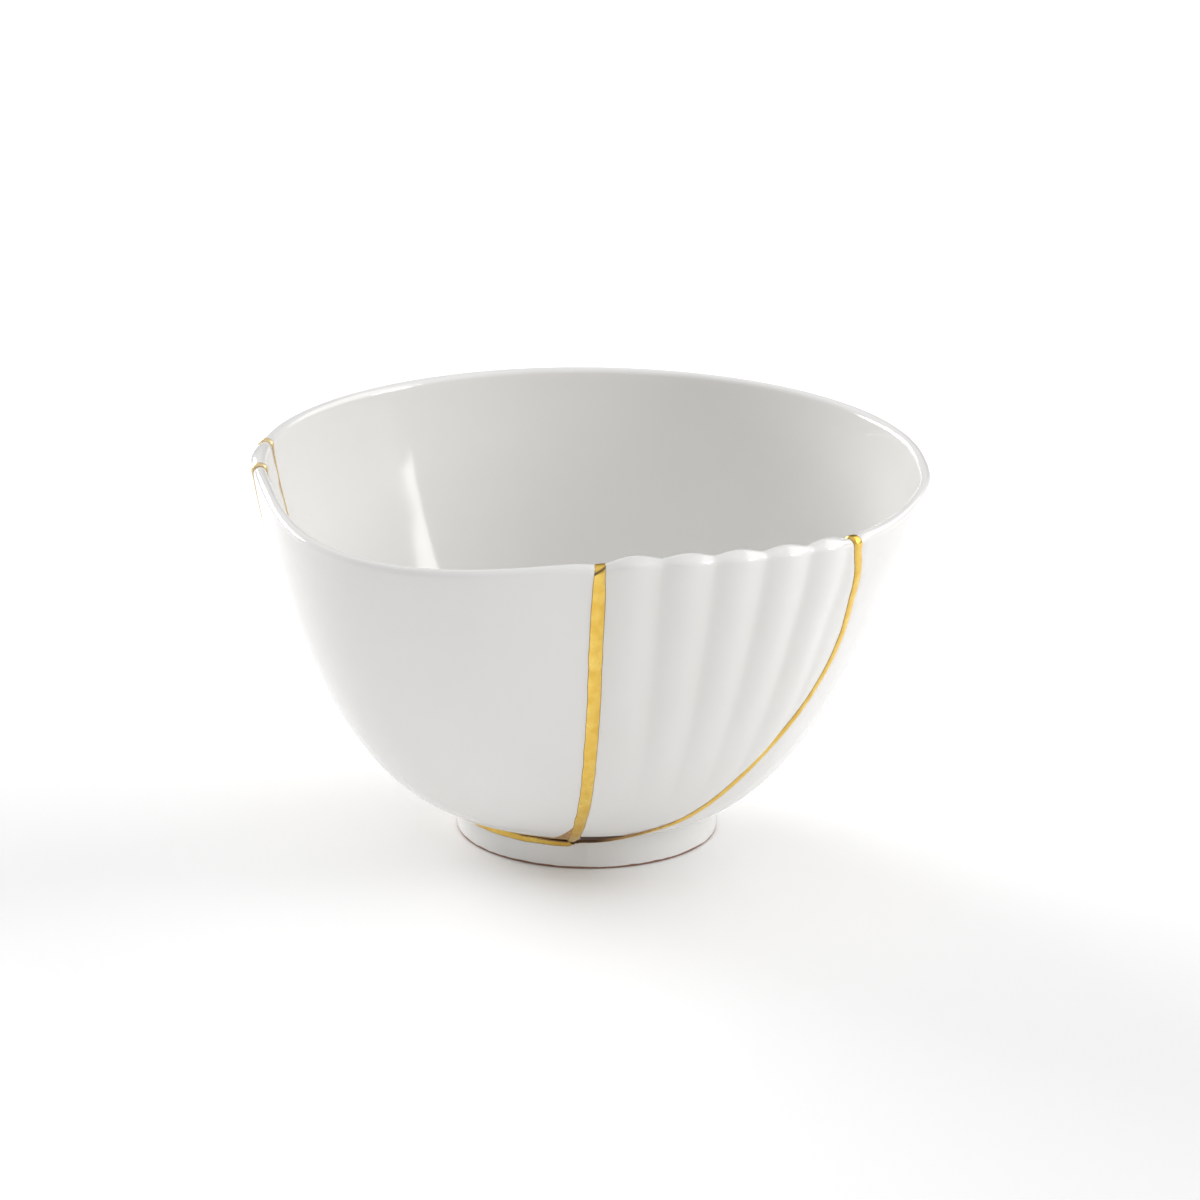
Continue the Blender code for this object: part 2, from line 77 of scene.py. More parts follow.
# The fluted and the lobed relief: how deep it is, how much it lifts the lip, and how it fades down the wall
FLUTES, FLUTE_FIRST, FLUTE_PITCH = 5, -86.9, 9.05
FLUTE_DEPTH, FLUTE_RISE, FLUTE_POWER, FLUTE_FADE_FROM, FLUTE_FADE_POWER = 0.0012, 0.0008, 1.3, 0.18, 0.7
LOBE_SPAN = (-188.5, -173.5)
LOBE_DEPTH, LOBE_RISE, LOBE_POWER, LOBE_FADE_FROM = 0.0008, 0.0005, 0.8, 0.55


def hill(azimuth, centre, width):
    """A smooth hill round the bowl, 1 at its centre."""
    return np.exp(-(((azimuth - centre + 180) % 360 - 180) / width) ** 2)


def flutes(azimuth):
    """The flutes' section: 1 on each crest, 0 in each valley and beyond the outer two."""
    flute = (azimuth - FLUTE_FIRST) / FLUTE_PITCH
    section = np.abs(np.sin(np.pi * flute)) ** FLUTE_POWER
    return np.where((flute > 0) & (flute < FLUTES), section, 0.0)


def lobe(azimuth):
    """The raised lobe of the small rim shard: 0 at its two seams, 1 between them."""
    share = np.clip((azimuth - LOBE_SPAN[0]) / (LOBE_SPAN[1] - LOBE_SPAN[0]), 0, 1)
    return np.sin(np.pi * share) ** LOBE_POWER


def fade(share, start):
    """Relief dies out down the wall: 1 at the lip, 0 at start and below."""
    rise = np.clip((share - start) / (1 - start), 0, 1)
    return rise * rise * (3 - 2 * rise)


def relief(azimuth, share, form):
    """How far a shard's outer face stands out from the plain wall."""
    if form == "fluted":
        return FLUTE_DEPTH * flutes(azimuth) * fade(share, FLUTE_FADE_FROM) ** FLUTE_FADE_POWER
    if form == "lobed":
        return LOBE_DEPTH * lobe(azimuth) * fade(share, LOBE_FADE_FROM)
    return np.zeros(np.shape(azimuth))


def lip_line(azimuth, form):
    """The lip's outermost radius, its highest point and its thickness."""
    low, high = SWELL_SPAN
    swell = np.sin(np.pi * np.clip((azimuth % -360.0 - low) / (high - low), 0, 1)) ** 2
    right = hill(azimuth, RIGHT_AT, RIGHT_WIDTH)
    radius = (RIM_RADIUS + SWELL_OUT * swell - RIGHT_IN * right
              - LEFT_FLAT * hill(azimuth, LEFT_FLAT_AT, LEFT_FLAT_WIDTH)
              + CORNER_OUT * hill(azimuth, CORNER_AT, CORNER_WIDTH))
    height = RIM_HEIGHT - SWELL_DIP * swell - RIGHT_DIP * right
    height = height - SEAM_DIP * sum(hill(azimuth, at, SEAM_DIP_WIDTH) for at in SEAMS_AT)
    if form == "fluted":
        height = height + FLUTE_RISE * flutes(azimuth)
    if form == "lobed":
        height = height + LOBE_RISE * lobe(azimuth)
    return radius, height, LIP_THICKNESS - CORNER_LIP * hill(azimuth, CORNER_LIP_AT, CORNER_LIP_WIDTH)


def wall_line(azimuth, share, form):
    """The plain outer face's radius, height and upward direction, and the lip's thickness."""
    radius, height, lip = lip_line(azimuth, form)
    left = 0.5 - 0.5 * np.cos(np.radians(azimuth))
    curve = {key: RIGHT_CURVE[key] + (LEFT_CURVE[key] - RIGHT_CURVE[key]) * left for key in RIGHT_CURVE}
    neck_way, lip_way = (np.radians(curve[key]) for key in ("neck_slope", "lip_slope"))
    start = NECK_RADIUS, NECK_HEIGHT
    end = (radius - lip / 2 + np.sin(lip_way) * lip / 2, height - lip / 2 - np.cos(lip_way) * lip / 2)
    span = np.hypot(end[0] - start[0], end[1] - start[1])
    neck_pull, lip_pull = span * curve["neck_pull"], span * curve["lip_pull"]
    first = start[0] + neck_pull * np.cos(neck_way), start[1] + neck_pull * np.sin(neck_way)
    second = end[0] - lip_pull * np.cos(lip_way), end[1] - lip_pull * np.sin(lip_way)
    # t goes along the Bezier curve at a pace that makes equal shares about equally long
    s, q, c = share, share ** 2, share ** 3
    t = (c - 2 * q + s) * span / (3 * neck_pull) + (3 * q - 2 * c) + (c - q) * span / (3 * lip_pull)
    u = 1 - t
    r, z = (u ** 3 * start[i] + 3 * u * u * t * first[i] + 3 * u * t * t * second[i] + t ** 3 * end[i]
            for i in (0, 1))
    dr, dz = (u * u * (first[i] - start[i]) + 2 * u * t * (second[i] - first[i])
              + t * t * (end[i] - second[i]) for i in (0, 1))
    length = np.hypot(dr, dz)
    tall = (z - (RIM_HEIGHT - SHOULDER_BELOW_LIP)) / SHOULDER_TALL
    r = r + SHOULDER * hill(azimuth, SHOULDER_AT, SHOULDER_WIDTH) * np.exp(-tall ** 2)
    return r, z, dr / length, dz / length, lip


def rounded_path(corners, cuts, steps=5):
    """A path through corners, each rounded off from a cut's length before it to as much after it."""
    path = [np.array(corners[0])]
    for before, corner, after, cut in zip(corners, corners[1:], corners[2:], cuts):
        corner = np.array(corner)
        start = corner + (np.array(before) - corner) * cut / math.dist(before, corner)
        end = corner + (np.array(after) - corner) * cut / math.dist(after, corner)
        for t in np.linspace(0, 1, steps + 1):
            path.append((1 - t) ** 2 * start + 2 * t * (1 - t) * corner + t * t * end)
    return np.array(path + [np.array(corners[-1])])


# The foot's section, from the middle of its recess round the ring and up to the neck, its corners rounded off
RING_INSIDE = FOOT_RADIUS - FOOT_RING_WIDTH
RECESS_LEAN = 0.0008
RECESS_ROUND, RING_INNER_ROUND, RING_OUTER_ROUND = 0.0008, 0.0006, 0.0004
foot_path = rounded_path([(0.0, RECESS_DEPTH), (RING_INSIDE - RECESS_LEAN, RECESS_DEPTH), (RING_INSIDE, 0.0),
                          (FOOT_RADIUS, 0.0), (NECK_RADIUS, NECK_HEIGHT)],
                         cuts=(RECESS_ROUND, RING_INNER_ROUND, RING_OUTER_ROUND))
foot_runs = np.r_[0.0, np.cumsum(np.hypot(*np.diff(foot_path, axis=0).T))]
NECK_RUN = foot_runs[-1]
WALL_RUN = WALL_BULGE * math.dist((NECK_RADIUS, NECK_HEIGHT), (RIM_RADIUS, RIM_HEIGHT))
LIP_RUN = NECK_RUN + WALL_RUN
CREST_RUN = LIP_RUN + LIP_THICKNESS / 2
# A run this little short of the lip's crest or the neck is taken to be on it
CREST_WITHIN, NECK_WITHIN = 1e-9, 1e-7


def face_line(azimuth, run, side, form, raised):
    """Radius and height of the outer (side 1) or inner (side -1) face, raised off it by a little."""
    share = np.clip((run - NECK_RUN) / WALL_RUN, 0, 1)
    r, z, along_r, along_z, lip = wall_line(azimuth, share, form)
    out_r, out_z = along_z, -along_r
    thick = WALL_THICKNESS + (lip - WALL_THICKNESS) * share
    carved = relief(azimuth, share, form) if side > 0 else 0.0
    shift = carved + raised if side > 0 else -thick - raised
    wall_r, wall_z = r + shift * out_r, z + shift * out_z
    sine = np.clip((run - LIP_RUN + CREST_WITHIN) / (CREST_RUN - LIP_RUN), 0, 1)
    cosine = np.sqrt(1 - sine ** 2)
    out = (lip / 2 + raised) * cosine * side + carved * cosine ** 2
    up = (lip / 2 + raised) * sine
    lip_r = r - out_r * lip / 2 + out * out_r + up * along_r
    lip_z = z - out_z * lip / 2 + out * out_z + up * along_z
    # Below the neck the outer face follows the foot, and the inner one curves into the level floor
    if side > 0:
        low_r = np.interp(run, foot_runs, foot_path[:, 0]) + raised
        low_z = np.interp(run, foot_runs, foot_path[:, 1])
    else:
        down = np.clip(run / NECK_RUN, 0, 1)
        edge_r, edge_z = r - thick * out_r, z - thick * out_z
        middle = RECESS_DEPTH + FLOOR_THICKNESS
        power = along_z / along_r * edge_r / (edge_z - middle)
        low_r, low_z = edge_r * down, middle + (edge_z - middle) * down ** power + raised
    above, below = run > LIP_RUN, run < NECK_RUN - NECK_WITHIN
    return (np.where(below, low_r, np.where(above, lip_r, wall_r)),
            np.where(below, low_z, np.where(above, lip_z, wall_z)))


def in_space(azimuth, run, side, form, raised):
    """The points in space for points of the bowl's skin."""
    r, z = face_line(azimuth, run, side, form, raised)
    turn = np.radians(azimuth)
    return np.stack([FOOT_AXIS[0] + r * np.cos(turn), FOOT_AXIS[1] + r * np.sin(turn), z], axis=1)


# Where the bowl broke, as the middle of each gold line on the outer face: azimuth, and height as a share of
# the rim's. The front line ends on the arc line, which sinks to the neck and runs on just below it
FRONT_BREAK = [(-88.2, 0.95), (-88.6, 0.75), (-88.9, 0.54), (-90.25, 0.28), (-93.4, 0.13)]
FRONT_FOOT_AT = -96.5
ARC_BREAK = [(-39.5, 0.94), (-36.7, 0.81), (-34.6, 0.67), (-36.9, 0.52), (-46.6, 0.32), (-57.5, 0.175),
             (-70.0, 0.125), (-84.5, 0.096)]
ARC_LOW_FROM = -60.0
NECK_BREAK_FROM, NECK_BREAK_DOWN = -98.0, 0.0006
# The two left lines meet at the small rim shard's tip. These are shares of the wall
NEAR_LEFT_BEND_AT, NEAR_LEFT_BEND_SHARE, SMALL_SHARD_TIP = -175.0, 0.85, 0.42
# Each line's width at even steps from the lip down, then how much wider each side is at the lip, over how far
FRONT_WIDTH, FRONT_KNOB = (0.0027, 0.0027, 0.0026, 0.0024, 0.0020), (-0.00030, 0.0050)
ARC_WIDTH, ARC_KNOB = (0.0023, 0.0019, 0.0018, 0.0022, 0.0020), (0.00015, 0.0015)
LEFT_WIDTH, LEFT_KNOB = (0.0006, 0.0004), (0.0007, 0.0012)
# Two ripples out of step keep a line's edges from looking ruled
WANDER, WANDER_LENGTH, SECOND_WANDER = 0.00003, 0.0062, 4.6
# A line has a station at every step across the lip and a little below it, and at one step in four on the
# wall. It starts beyond the lip's crest, so that it's cut off clean there
LIP_STATION, STATIONS_BELOW_LIP, WALL_EVERY, OVERRUN = 0.0002, 0.001, 4, 0.0012
HEIGHTS_TRIED = 400


def skin_radius(azimuth, run):
    """The outer face's radius at points of the skin."""
    return face_line(np.asarray(azimuth, float), np.asarray(run, float), 1, "plain", 0.0)[0]


def at_height(azimuth, height):
    """The point of the skin where the outer face reaches a height."""
    runs = np.linspace(NECK_RUN, LIP_RUN, HEIGHTS_TRIED)
    heights = face_line(np.full(len(runs), azimuth), runs, 1, "plain", 0.0)[1]
    return azimuth, float(np.interp(height, heights, runs))


def stations(points):
    """Close stations on a smooth curve through points of the skin, closest where it crosses the lip."""
    points = [tuple(2 * a - b for a, b in zip(points[0], points[1])), *points,
              tuple(2 * a - b for a, b in zip(points[-1], points[-2]))]
    line = []
    for a, b, c, d in zip(*(np.array(points[i:len(points) - 3 + i]) for i in range(4))):
        reach = math.hypot(math.radians(c[0] - b[0]) * skin_radius(b[0], b[1]), c[1] - b[1])
        steps = max(1, round(reach / LIP_STATION))
        line += [0.5 * (2 * b + (c - a) * t + (2 * a - 5 * b + 4 * c - d) * t ** 2
                        + (3 * b - a - 3 * c + d) * t ** 3)
                 for t in np.arange(steps) / steps]
    line = np.array(line)
    kept = (line[:, 1] > LIP_RUN - STATIONS_BELOW_LIP) | (np.arange(len(line)) % WALL_EVERY == 0)
    return np.concatenate([line[kept], [points[-2]]])


def graded(line, widths, knob):
    """Half the line's width on either side at each station, wider or narrower where it crosses the lip."""
    across = np.radians(np.diff(line[:, 0])) * skin_radius(line[1:, 0], line[1:, 1])
    ran = np.r_[0.0, np.cumsum(np.hypot(across, np.diff(line[:, 1])))]
    half = np.interp(ran / ran[-1], np.linspace(0, 1, len(widths)), widths) / 2
    half = half + knob[0] * np.exp(-((ran - OVERRUN) / knob[1]) ** 2)
    turns = ran / WANDER_LENGTH
    wander = WANDER * (np.sin(turns * 2 * np.pi) + np.sin(turns * SECOND_WANDER + 1.0))
    return {"line": line, "left": half + wander * np.cos(turns), "right": half - wander}


def break_lines():
    """The four gold lines, each from the lip down. The arc line runs on round the neck to the left end."""
    top = CREST_RUN + OVERRUN
    arc = [at_height(azimuth, share * RIM_HEIGHT) for azimuth, share in ARC_BREAK]
    neck_run = NECK_RUN - NECK_BREAK_DOWN
    arc = stations([(arc[0][0], top), *arc, (NECK_BREAK_FROM, neck_run)])
    past_corner = LOBE_SPAN[0] - math.degrees(LEFT_WIDTH[1] / 2 / NECK_RADIUS)
    steps = round(math.radians(NECK_BREAK_FROM - past_corner) * NECK_RADIUS / LIP_STATION / WALL_EVERY)
    neck_azimuths = np.linspace(NECK_BREAK_FROM, past_corner, steps + 1)[1:]
    arc = np.concatenate([arc, np.stack([neck_azimuths, np.full(steps, neck_run)], axis=1)])
    front = [at_height(azimuth, share * RIM_HEIGHT) for azimuth, share in FRONT_BREAK]
    low = arc[arc[:, 0] < ARC_LOW_FROM]
    foot_run = float(np.interp(-FRONT_FOOT_AT, -low[:, 0], low[:, 1]))
    front = stations([(front[0][0], top), *front, (FRONT_FOOT_AT, foot_run)])
    tip = (LOBE_SPAN[0], NECK_RUN + WALL_RUN * SMALL_SHARD_TIP)
    far_left = stations([(LOBE_SPAN[0], top), tip, (LOBE_SPAN[0], NECK_RUN)])
    bend = (NEAR_LEFT_BEND_AT, NECK_RUN + WALL_RUN * NEAR_LEFT_BEND_SHARE)
    near_left = stations([(LOBE_SPAN[1], top), bend, tip])
    return [graded(front, FRONT_WIDTH, FRONT_KNOB), graded(arc, ARC_WIDTH, ARC_KNOB),
            graded(far_left, LEFT_WIDTH, LEFT_KNOB), graded(near_left, LEFT_WIDTH, LEFT_KNOB)]


def outline(seam, extra):
    """The outline of a gold line on the skin, widened all round by extra."""
    line = seam["line"]
    radius = skin_radius(line[:, 0], line[:, 1])
    ahead = np.concatenate([line[1:], line[-1:]]) - np.concatenate([line[:1], line[:-1]])
    across, up = np.radians(ahead[:, 0]) * radius, ahead[:, 1]
    length = np.hypot(across, up)
    across, up = across / length, up / length
    push = np.zeros(len(line))
    push[0], push[-1] = -extra, extra
    sides = []
    for sign, half in ((-1, seam["right"]), (1, seam["left"])):
        reach = sign * (half + extra)
        sides.append(np.stack([line[:, 0] + np.degrees((across * push - up * reach) / radius),
                               line[:, 1] + up * push + across * reach], axis=1))
    return np.concatenate([sides[0], sides[1][::-1]])


seams = break_lines()
# Distances to the gold are found for so many points at once, as if none were closer to the axis than this
POINTS_AT_ONCE, LEAST_RADIUS = 4000, 0.001


def beyond_gold(azimuth, run, blend=0.0):
    """How far each point of the skin lies beyond the gold's outline, negative inside it.

    Where two lines meet, blend rounds off the valley between them.
    """
    found = np.empty(len(azimuth))
    for block in range(0, len(azimuth), POINTS_AT_ONCE):
        part = slice(block, block + POINTS_AT_ONCE)
        radius = np.maximum(skin_radius(azimuth[part], run[part]), LEAST_RADIUS)[:, None]
        distances = []
        for seam in seams:
            x = np.radians(seam["line"][None, :, 0] - azimuth[part, None]) * radius
            y = seam["line"][None, :, 1] - run[part, None]
            ax, ay, bx, by = x[:, :-1], y[:, :-1], np.diff(x), np.diff(y)
            t = np.clip(-(ax * bx + ay * by) / (bx * bx + by * by), 0, 1)
            on_left = ax * by - ay * bx > 0
            half = np.where(on_left, seam["left"][:-1] + np.diff(seam["left"]) * t,
                            seam["right"][:-1] + np.diff(seam["right"]) * t)
            distances.append((np.hypot(ax + bx * t, ay + by * t) - half).min(axis=1))
        distances = np.array(distances)
        if blend:
            found[part] = -blend * np.log(np.exp(-distances / blend).sum(axis=0))
        else:
            found[part] = distances.min(axis=0)
    return found


def point_in(azimuth, run, ring):
    """Whether points of the skin lie within a closed ring."""
    crossings = np.zeros(len(azimuth), int)
    for (x0, y0), (x1, y1) in zip(ring, np.roll(ring, -1, axis=0)):
        if y0 != y1:
            crossings += ((y0 > run) != (y1 > run)) & (azimuth < x0 + (run - y0) * (x1 - x0) / (y1 - y0))
    return crossings % 2 == 1


# The skin is drawn as a flat map of azimuth and run, cut open at the back. The gold's outlines cut the map
# into shards. SEAM_GAP is left between gold and porcelain, and each shard's edge is rounded over CHAMFER
CUT_AT, MAP_RADIUS = 90.0, 0.050
SEAM_GAP, CHAMFER = 0.00002, 0.00012
# The map's columns, in degrees, its rows, and how far both stay clear of the gold's outline
COLUMN, FLUTE_COLUMN, FLUTE_COLUMNS_BEFORE, FLUTE_COLUMNS_TO = 2.0, FLUTE_PITCH / 12, 8, -28.0
WALL_ROWS, LIP_ROWS, FLOOR_STEP, BELOW_CREST = 46, 9, 0.0022, 0.001
CLEAR, NECK_CLEAR = 0.00075, 0.00025
# Closer lines beside the gold's outline: on the shards as shares of CHAMFER, and on the gold as depths
EDGE_LINES, CROWN_LINES = (0.12, 0.4, 1.0), (0.00015, 0.0004, 0.0007)
# Corners closer than WELD become one, and an edge sharper than CREASE degrees is shaded as one
WELD, CREASE = 1e-7, 50.0


def skin_triangles():
    """Draws the whole skin flat as triangles, and sorts them into porcelain and gold."""
    front, arc = (seams[i]["line"] for i in (0, 1))
    fluted_patch = np.concatenate([front, arc[arc[:, 0] > FRONT_FOOT_AT][::-1]])
    first = CUT_AT - 360
    coarse = np.arange(first, CUT_AT + COLUMN / 2, COLUMN)
    fine = np.arange(FLUTE_FIRST - FLUTE_COLUMNS_BEFORE * FLUTE_COLUMN, FLUTE_COLUMNS_TO, FLUTE_COLUMN)
    lip_runs = LIP_RUN + (CREST_RUN - LIP_RUN) * np.sin(np.radians(np.linspace(0, 90, LIP_ROWS)))

    def row(run, test_run):
        """A row's columns: closer ones on the fluted shard, none beside the gold, and on the neck some in it.

        What lies on the fluted shard is tested at test_run, so that the lip's top rows have the same columns.
        """
        plain = coarse[~point_in(coarse, np.full(len(coarse), test_run), fluted_patch)]
        fluted = fine[point_in(fine, np.full(len(fine), test_run), fluted_patch)]
        columns = np.sort(np.r_[plain, fluted])
        away = beyond_gold(columns, np.full(len(columns), run))
        return columns[(away > SEAM_GAP + CLEAR) | ((run == NECK_RUN) & (away < -NECK_CLEAR))]

    # Rows on the foot and lip are drawn as edges, as the skin turns sharply there, but not across the gold
    points, edges, faces = [], [], []
    for run in [*foot_runs[1:], *lip_runs]:
        columns = row(run, min(run, CREST_RUN - BELOW_CREST))
        edges += [(len(points) + i, len(points) + i + 1) for i, gap in enumerate(np.diff(columns))
                  if gap < 1.5 * COLUMN]
        points += [(azimuth, run) for azimuth in columns]
    for run in LIP_RUN - WALL_RUN * np.arange(1, WALL_ROWS) / WALL_ROWS:
        points += [(azimuth, run) for azimuth in row(run, run)]
    for run in np.arange(FLOOR_STEP, foot_runs[1] - FLOOR_STEP / 2, FLOOR_STEP):
        every = max(1, round(foot_runs[1] / run))
        points += [(azimuth, run) for azimuth in coarse[::every]]
    rings = [np.array([(first, 0.0), (CUT_AT, 0.0), (CUT_AT, CREST_RUN), (first, CREST_RUN)])]
    rings += [outline(seam, SEAM_GAP) for seam in seams]
    rings += [outline(seam, 0.0) for seam in seams]
    lines = [outline(seam, SEAM_GAP + CHAMFER * share) for seam in seams for share in EDGE_LINES]
    lines += [outline(seam, SEAM_GAP - depth) for seam in seams for depth in CROWN_LINES]
    for line in lines:
        edges += [(len(points) + i, len(points) + (i + 1) % len(line)) for i in range(len(line))]
        points += [tuple(point) for point in line]
    for ring in rings:
        faces.append(list(range(len(points), len(points) + len(ring))))
        points += [tuple(point) for point in ring]
    flat = [Vector((math.radians(azimuth) * MAP_RADIUS, run)) for azimuth, run in points]
    corners, _, cells, _, _, origins = delaunay_2d_cdt(flat, edges, faces, 0, WELD)
    corners = np.array([(math.degrees(corner.x / MAP_RADIUS), corner.y) for corner in corners])
    # Ring 0 is the map's own border. After it come the rings that part the shards, then the gold's
    gaps, golds = set(range(1, 1 + len(seams))), set(range(1 + len(seams), 1 + 2 * len(seams)))
    on_shards = [cell for cell, origin in zip(cells, origins) if 0 in origin and not gaps & set(origin)]
    on_gold = [cell for cell, origin in zip(cells, origins) if 0 in origin and golds & set(origin)]
    return corners, on_shards, np.array(on_gold)


def shard_patches(cells):
    """Sorts triangles into patches that hang together."""
    leader = {}

    def find(corner):
        while leader.setdefault(corner, corner) != corner:
            leader[corner] = leader[leader[corner]]
            corner = leader[corner]
        return corner

    for a, b, c in cells:
        leader[find(a)] = find(b)
        leader[find(b)] = find(c)
    patches = {}
    for cell in cells:
        patches.setdefault(find(cell[0]), []).append(cell)
    return [np.array(patch) for patch in patches.values()]


def closed_piece(name, node, corners, cells, outer_face, inner_face, shades):
    """Lifts a flat patch onto two faces, closes it along its border and puts it in its node's place.

    Each shade is a value at every corner, which the material reads by its name.
    """
    azimuth, run = corners.T
    used = np.unique(cells)
    spots = np.concatenate([face(azimuth[used], run[used]) for face in (outer_face, inner_face)])
    _, first, places = np.unique(np.round(spots / WELD).astype(np.int64), axis=0, return_index=True,
                                 return_inverse=True)
    places = places.ravel()
    outer_id, inner_id = (np.zeros(len(azimuth), int) for _ in range(2))
    outer_id[used], inner_id[used] = places[:len(used)], places[len(used):]
    starts, ends = cells.ravel(), np.roll(cells, -1, axis=1).ravel()
    there = set(zip(outer_id[starts].tolist(), outer_id[ends].tolist()))
    faces = [*outer_id[cells].tolist(), *inner_id[cells[:, ::-1]].tolist()]
    for start, end in zip(starts.tolist(), ends.tolist()):
        if (outer_id[end], outer_id[start]) not in there:
            faces.append([outer_id[end], outer_id[start], inner_id[start], inner_id[end]])
    # Welded corners leave some faces with a corner twice, or with no area
    clean = []
    for face in faces:
        face = [int(corner) for place, corner in enumerate(face) if corner != face[place - 1]]
        if len(set(face)) > 2:
            clean.append(face)
    mesh = bpy.data.meshes.new(name)
    mesh.from_pydata(spots[first].tolist(), [], clean)
    for shade, value in shades.items():
        layer = mesh.attributes.new(shade, "FLOAT", "POINT")
        layer.data.foreach_set("value", value(np.tile(azimuth[used], 2), np.tile(run[used], 2))[first])
    mesh.shade_smooth()
    mesh.set_sharp_from_angle(angle=math.radians(CREASE))
    mesh.validate()
    piece = bpy.data.objects.new(name, mesh)
    bpy.context.scene.collection.objects.link(piece)
    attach(piece, "root")
    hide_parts(node)
    return piece


skin_corners, porcelain_cells, gold_cells = skin_triangles()
patches = shard_patches(porcelain_cells)
# A patch covers a place if one of its triangles closest to it does
TRIANGLES_TRIED = 12


def patch_at(azimuth, share):
    """The patch that covers a place on the wall."""
    run = NECK_RUN + share * WALL_RUN
    for patch in patches:
        middles = skin_corners[patch].mean(axis=1)
        degrees_off, millimetres_off = middles[:, 0] - azimuth, (middles[:, 1] - run) * 1000
        closest = patch[np.argsort(np.hypot(degrees_off, millimetres_off))[:TRIANGLES_TRIED]]
        if any(point_in(np.array([azimuth]), np.array([run]), skin_corners[cell])[0] for cell in closest):
            return patch


def worn_edge(azimuth, run):
    """Glaze rounds the broken edges: how far the skin sinks near them."""
    near = np.clip(1 - (beyond_gold(azimuth, run) - SEAM_GAP) / CHAMFER, 0, 1)
    return -CHAMFER * (1 - np.sqrt(1 - near ** 2))


# How thick the glaze lies, 0 to 1: on the plain wall, how much thinner it gets on the foot and on the lip and
# within how far, and how much it gathers in a flute's valley and thins on its crest
GLAZE_ON_WALL, THINNER_ON_FOOT, THINNER_ON_LIP = 0.5, 0.4, 0.5
THINS_DOWN_FOOT, THINS_OVER_LIP = 0.002, 0.0008
VALLEY_POOL, CREST_THINNING = 0.35, 0.55


def glaze_pool(form):
    """How thick the glaze lies on a shard, as a function of azimuth and run."""
    def depth(azimuth, run):
        pooled = (GLAZE_ON_WALL - THINNER_ON_FOOT * np.clip((NECK_RUN - run) / THINS_DOWN_FOOT, 0, 1)
                  - THINNER_ON_LIP * np.clip((run - LIP_RUN) / THINS_OVER_LIP, 0, 1))
        if form == "fluted":
            share = np.clip((run - NECK_RUN) / WALL_RUN, 0, 1)
            pooled = pooled + fade(share, FLUTE_FADE_FROM) * (VALLEY_POOL - CREST_THINNING * flutes(azimuth))
        return np.clip(pooled, 0, 1)
    return depth


def linear(hex_colour):
    """An sRGB hex colour as linear red, green, blue and alpha."""
    channels = [int(hex_colour[i:i + 2], 16) / 255 for i in (0, 2, 4)]
    return (*(c / 12.92 if c <= 0.04045 else ((c + 0.055) / 1.055) ** 2.4 for c in channels), 1.0)


def add_node(tree, kind, inputs=None, **settings):
    """Adds a node, sets what it is told and fills or links its inputs."""
    node = tree.nodes.new(kind)
    for key, value in settings.items():
        setattr(node, key, value)
    for key, value in (inputs or {}).items():
        if isinstance(value, bpy.types.NodeSocket):
            tree.links.new(value, node.inputs[key])
        else:
            node.inputs[key].default_value = value
    return node


